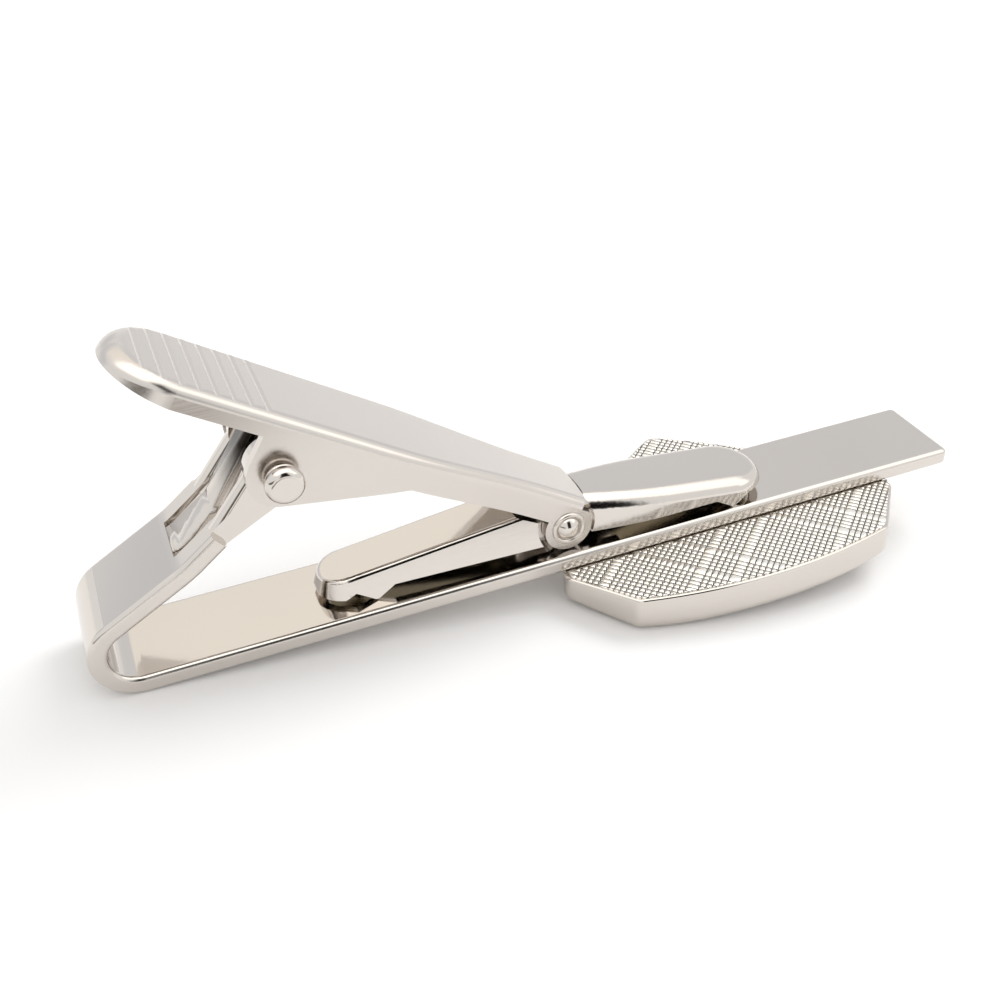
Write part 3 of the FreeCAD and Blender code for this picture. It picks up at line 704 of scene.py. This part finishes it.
@dataclass
class Lever:
    """Thumb lever with the rivet at its tail, set in a raised ring on each side. Sizes in mm."""

    tail_half: float = 2.3
    ring_radius: float = 0.92
    ring_wire: float = 0.16

    def build(self, finishes: Finishes) -> None:
        """Dress the lever and its rivet, and add the rings.

        Args:
            finishes: Materials to dress with.
        """
        dress(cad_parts["thumb_lever"], finishes.satin)
        dress(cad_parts["jaw_rivet"], finishes.mirror)
        for rim in ring_pair(
            "rivet_ring", "jaw_rivet", self.tail_half, self.ring_radius, self.ring_wire
        ):
            mount(rim, Body.LEVER, finishes.satin)


@dataclass
class Jaw:
    """Toothed see-saw jaw."""

    def build(self, finishes: Finishes) -> None:
        """Dress the jaw.

        Args:
            finishes: Materials to dress with.
        """
        dress(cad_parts["jaw"], finishes.trough)


@dataclass(frozen=True)
class Card:
    """A glowing or dark board round the set, seen only in reflections, faded towards its edges.

    Angles in degrees, sizes in m, measured to where the board is half faded.
    """

    name: str
    azimuth: float
    elevation: float
    width: float
    height: float
    colour: str
    strength: float
    distance: float = 0.6
    lying: bool = False
    fade: float = 0.5

    def build(self) -> None:
        """Stand the board up, facing the clip, or lay it flat."""
        flat = math.radians(self.azimuth)
        lift = math.radians(self.elevation)
        level = math.cos(lift)
        heading = Vector((level * math.cos(flat), level * math.sin(flat), math.sin(lift)))
        mesh = bmesh.new()
        mesh.loops.layers.uv.new()
        bmesh.ops.create_grid(
            mesh, x_segments=1, y_segments=1, size=0.5 / (1 - self.fade / 2), calc_uvs=True
        )
        bmesh.ops.scale(mesh, verts=mesh.verts, vec=(self.width, self.height, 1))
        turn = Matrix.Identity(3) if self.lying else heading.to_track_quat("Z", "Y").to_matrix()
        bmesh.ops.rotate(mesh, verts=mesh.verts, matrix=turn)
        bmesh.ops.translate(mesh, verts=mesh.verts, vec=heading * self.distance)
        board = new_piece(self.name, mesh)
        material, tree = new_tree(self.name)
        # The UV square runs from 0 to 1, and is spread to run from -1 to 1.
        spread = put(tree, "ShaderNodeMapping", {
            "Vector": put(tree, "ShaderNodeTexCoord").outputs["UV"],
            "Location": (-1, -1, 0),
            "Scale": (2, 2, 0),
        })
        outward = put(tree, "ShaderNodeVectorMath", {
            0: spread.outputs["Vector"],
        }, operation="ABSOLUTE")
        faded = put(tree, "ShaderNodeMapRange", {
            "Vector": outward.outputs["Vector"],
            "From Min": (1 - self.fade,) * 3,
            "From Max": (1, 1, 1),
            "To Min": (1, 1, 1),
            "To Max": (0, 0, 0),
        }, data_type="FLOAT_VECTOR", interpolation_type="SMOOTHSTEP")
        split = put(tree, "ShaderNodeSeparateXYZ", {"Vector": faded.outputs["Vector"]})
        cover = work(tree, "MULTIPLY", split.outputs["X"], split.outputs["Y"])
        glow = put(tree, "ShaderNodeEmission", {"Color": linear(self.colour), "Strength": self.strength})
        clear = put(tree, "ShaderNodeBsdfTransparent")
        surface = put(tree, "ShaderNodeMixShader", {
            "Fac": cover,
            1: clear.outputs["BSDF"],
            2: glow.outputs["Emission"],
        })
        put(tree, "ShaderNodeOutputMaterial", {"Surface": surface.outputs["Shader"]})
        dress(board, material)
        board.visible_camera = False
        board.visible_diffuse = False
        board.visible_shadow = False


@dataclass
class Studio:
    """White table, light tent, boards and camera. Sizes in mm and degrees unless said otherwise."""

    table_tilt: float = 4.9
    table_pivot: float = 5.31
    table_front: float = -75.0
    table_back: float = 900.0
    table_half: float = 500.0
    table_colour: str = "#F6F5F4"
    tent_colour: str = "#FFFFFF"
    tent_strength: float = 1.0
    lamp_watts: float = 1.0
    lamp_size: float = 300.0
    lamp_place: tuple[float, float, float] = (340.0, 120.0, 360.0)
    viewpoint: tuple[float, float, float] = (-23.08, -54.20, 47.94)
    view_turn: tuple[float, float, float] = (54.574, 2.237, -21.864)
    lens: float = 43.13
    sensor: float = 36.0
    nearest: float = 1.0
    cards: tuple[Card, ...] = (
        Card("board_back_right_grey", 50, 27, 0.52, 0.36, "#ECEDF0", 1.0),
        Card("board_back_left_grey", 118, 24, 0.75, 0.18, "#E3E5EA", 1.0),
        Card("board_ceiling_warm", 96, 52, 0.6, 0.36, "#FFFBF3", 1.14),
        Card("board_zenith_soft", -70, 86, 1.2, 1.0, "#FFFDF9", 1.85, 0.7),
        Card("board_right_soft", -30, 35, 0.34, 0.36, "#FFFDFA", 1.7),
        Card("board_front_dark", -83, 22, 0.27, 0.6, "#181614", 1.0),
        Card("board_left_low_dark", -142, 0, 0.55, 0.2, "#5E5850", 1.0),
        # A grey sheet lying on the table in front, seen only in reflections: a painted shadow on the
        # table there.
        Card("board_table_painted_shadow", -136, 3.7, 0.044, 0.011, "#9A948C", 1.0, 0.047, True),
    )

    def build_table(self) -> None:
        """Lay a pale table under the plate's edge and the bend, which the clip rests on."""
        mesh = bmesh.new()
        bmesh.ops.create_grid(mesh, x_segments=1, y_segments=1, size=1)
        middle = (self.table_front + self.table_back) / 2
        half_depth = (self.table_back - self.table_front) / 2
        tilt = Matrix.Rotation(math.radians(self.table_tilt), 3, "Y")
        bmesh.ops.scale(mesh, verts=mesh.verts, vec=(self.table_half, half_depth, 1))
        bmesh.ops.translate(mesh, verts=mesh.verts, vec=(0, middle, 0))
        bmesh.ops.rotate(mesh, verts=mesh.verts, matrix=tilt)
        bmesh.ops.translate(mesh, verts=mesh.verts, vec=(self.table_pivot, 0, 0))
        bmesh.ops.scale(mesh, verts=mesh.verts, vec=(MM, MM, MM))
        table = new_piece("table", mesh)
        material, tree = new_tree("table_white_card")
        surface = put(tree, "ShaderNodeBsdfDiffuse", {"Color": linear(self.table_colour)})
        put(tree, "ShaderNodeOutputMaterial", {"Surface": surface.outputs["BSDF"]})
        dress(table, material)

    def build_light(self) -> None:
        """Light the set from an even white tent and one soft lamp behind the clip."""
        world = bpy.data.worlds.new("light_tent")
        world.use_nodes = True
        world.node_tree.nodes.clear()
        tent = put(world.node_tree, "ShaderNodeBackground", {
            "Color": linear(self.tent_colour),
            "Strength": self.tent_strength,
        })
        put(world.node_tree, "ShaderNodeOutputWorld", {"Surface": tent.outputs["Background"]})
        bpy.context.scene.world = world
        lamp = bpy.data.lights.new("lamp_soft", "AREA")
        lamp.shape = "DISK"
        lamp.size = self.lamp_size * MM
        lamp.energy = self.lamp_watts
        stand = bpy.data.objects.new("lamp_soft", lamp)
        stand.location = Vector(self.lamp_place) * MM
        stand.rotation_euler = (-stand.location).to_track_quat("-Z", "Y").to_euler()
        stand.visible_glossy = False
        bpy.context.scene.collection.objects.link(stand)

    def build_camera(self) -> None:
        """Set the camera where the photograph was taken from."""
        eye = bpy.data.cameras.new("photo_camera")
        eye.lens = self.lens
        eye.sensor_width = self.sensor
        eye.clip_start = self.nearest * MM
        stand = bpy.data.objects.new("photo_camera", eye)
        stand.location = Vector(self.viewpoint) * MM
        stand.rotation_euler = Euler([math.radians(a) for a in self.view_turn])
        bpy.context.scene.collection.objects.link(stand)
        bpy.context.scene.camera = stand

    def build(self) -> None:
        """Set up table, boards, light and camera."""
        bpy.context.scene.view_settings.view_transform = "Standard"
        self.build_table()
        for card in self.cards:
            card.build()
        self.build_light()
        self.build_camera()


def main() -> None:
    """Build every sub-assembly, then the studio, and note the sizes."""
    logging.basicConfig(level=logging.INFO, format="%(name)s %(message)s")
    finishes = Finishes()
    for assembly in (Plate(), Strip(), Lever(), Jaw()):
        assembly.build(finishes)
        log.info("%s built", type(assembly).__name__)
    Studio().build()


if __name__ == "__main__":
    main()
